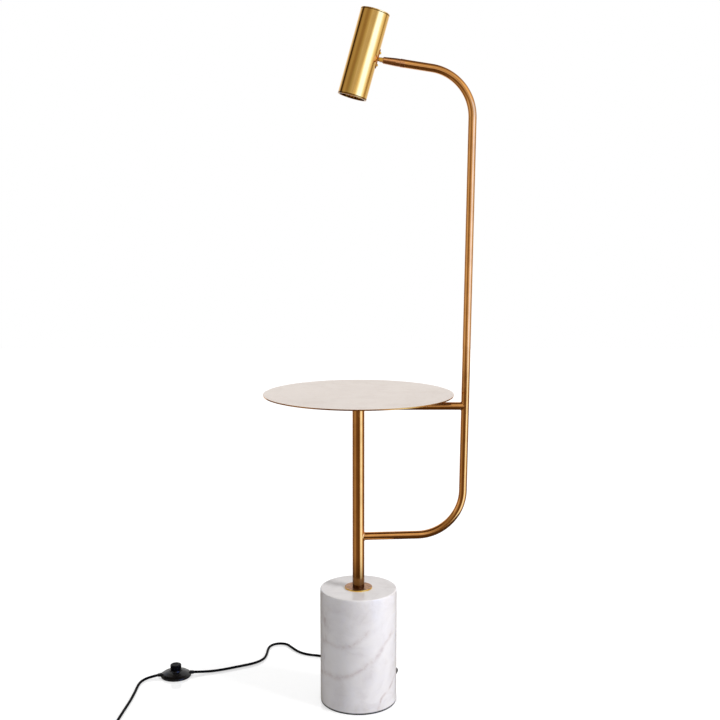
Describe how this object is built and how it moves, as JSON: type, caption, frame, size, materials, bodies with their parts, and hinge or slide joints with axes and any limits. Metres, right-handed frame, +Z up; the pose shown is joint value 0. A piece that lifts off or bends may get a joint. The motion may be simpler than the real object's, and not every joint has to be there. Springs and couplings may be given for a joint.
{
  "type": "floor lamp with table",
  "caption": "Floor lamp on a marble block, with a round side table on its brass column and a spot head that tilts and turns on a bent tube arm.",
  "frame": {"origin": "centre of the underside of the marble foot, on the floor", "axes": "+Z up along the column, +X from the column to the pole of the arm, -Y the lamp's front"},
  "size_m": [0.6792, 0.5101, 1.3296],
  "materials": {
    "black_rubber": "matte foot pad and tie",
    "white_marble": "polished white marble with soft grey and rust veins",
    "zinc_steel": "zinc plated",
    "antique_brass": "satin antique brass plating",
    "champagne_brass": "fine brushed pale brass",
    "coppery_brass": "satin coppery brass",
    "plain_brass": "turned brass",
    "polished_brass": "polished brass",
    "bulb_body": "white reflector lamp body",
    "bulb_glass": "frosted front lens",
    "holder_ceramic": "glazed off-white steatite",
    "white_plastic": "moulded nylon",
    "lead_sleeving": "silicone sleeving",
    "black_plastic": "moulded, lightly grained",
    "black_gloss": "moulded gloss black",
    "black_cord": "round black PVC sheath",
    "spring_steel": "spring wire",
    "nickel_pins": "nickel plated"
  },
  "bodies": {
    "stand": {"foot_pad": "black_rubber", "marble_base": "white_marble", "rod_washer": "zinc_steel", "rod_nut": "zinc_steel", "threaded_rod": "zinc_steel", "base_collar": "antique_brass", "column_foot": "zinc_steel", "column_tube": "antique_brass", "table_flange": "antique_brass", "table_top": "champagne_brass", "table_studs": "zinc_steel", "table_nuts": "zinc_steel", "cross_bar": "antique_brass", "arm_tube": "antique_brass", "swivel_stub": "plain_brass", "swivel_ring": "coppery_brass", "swivel_washer": "zinc_steel", "swivel_nut": "plain_brass", "cord_bush": "black_plastic", "inner_flex": "black_cord", "cord_to_switch": "black_cord", "cord_to_coil": "black_cord", "cord_coil": "black_cord", "cord_to_plug": "black_cord", "coil_tie": "black_rubber", "switch_housing": "black_gloss", "switch_base": "black_plastic", "switch_screws": "zinc_steel", "switch_block": "white_plastic", "switch_spring": "spring_steel", "plug_relief": "black_plastic", "plug_body": "black_plastic", "plug_pins": "nickel_pins"},
    "swivel": {"swivel_sleeve": "coppery_brass", "knuckle_fork": "polished_brass", "knuckle_screw": "polished_brass", "knuckle_nut": "polished_brass", "friction_washers": "zinc_steel"},
    "head": {"head_shell": "polished_brass", "head_cap": "polished_brass", "front_ring": "polished_brass", "knuckle_tongue": "polished_brass", "bulb": "bulb_body", "bulb_lens": "bulb_glass", "lamp_holder": "holder_ceramic", "holder_bracket": "zinc_steel", "holder_screws": "zinc_steel", "head_screws": "polished_brass", "terminal_block": "white_plastic", "head_leads": "lead_sleeving"},
    "button": {"switch_button": "black_gloss"}
  },
  "joints": [
    {"name": "arm_swivel", "type": "hinge", "parent": "stand", "child": "swivel", "pos_m": [0.0853, 0, 1.2286], "axis": [-0.9882, 0, 0.153], "range_deg": [-170, 170]},
    {"name": "head_tilt", "type": "hinge", "parent": "swivel", "child": "head", "pos_m": [0.04093, 0, 1.23547], "axis": [0, 1, 0], "range_deg": [-65, 50]},
    {"name": "switch_press", "type": "slide", "parent": "stand", "child": "button", "axis": [0, 0, 1], "range_m": [-0.0025, 0], "stiffness_N_per_m": 2000, "springref_m": 0.001, "deforming": ["switch_spring"]}
  ]
}
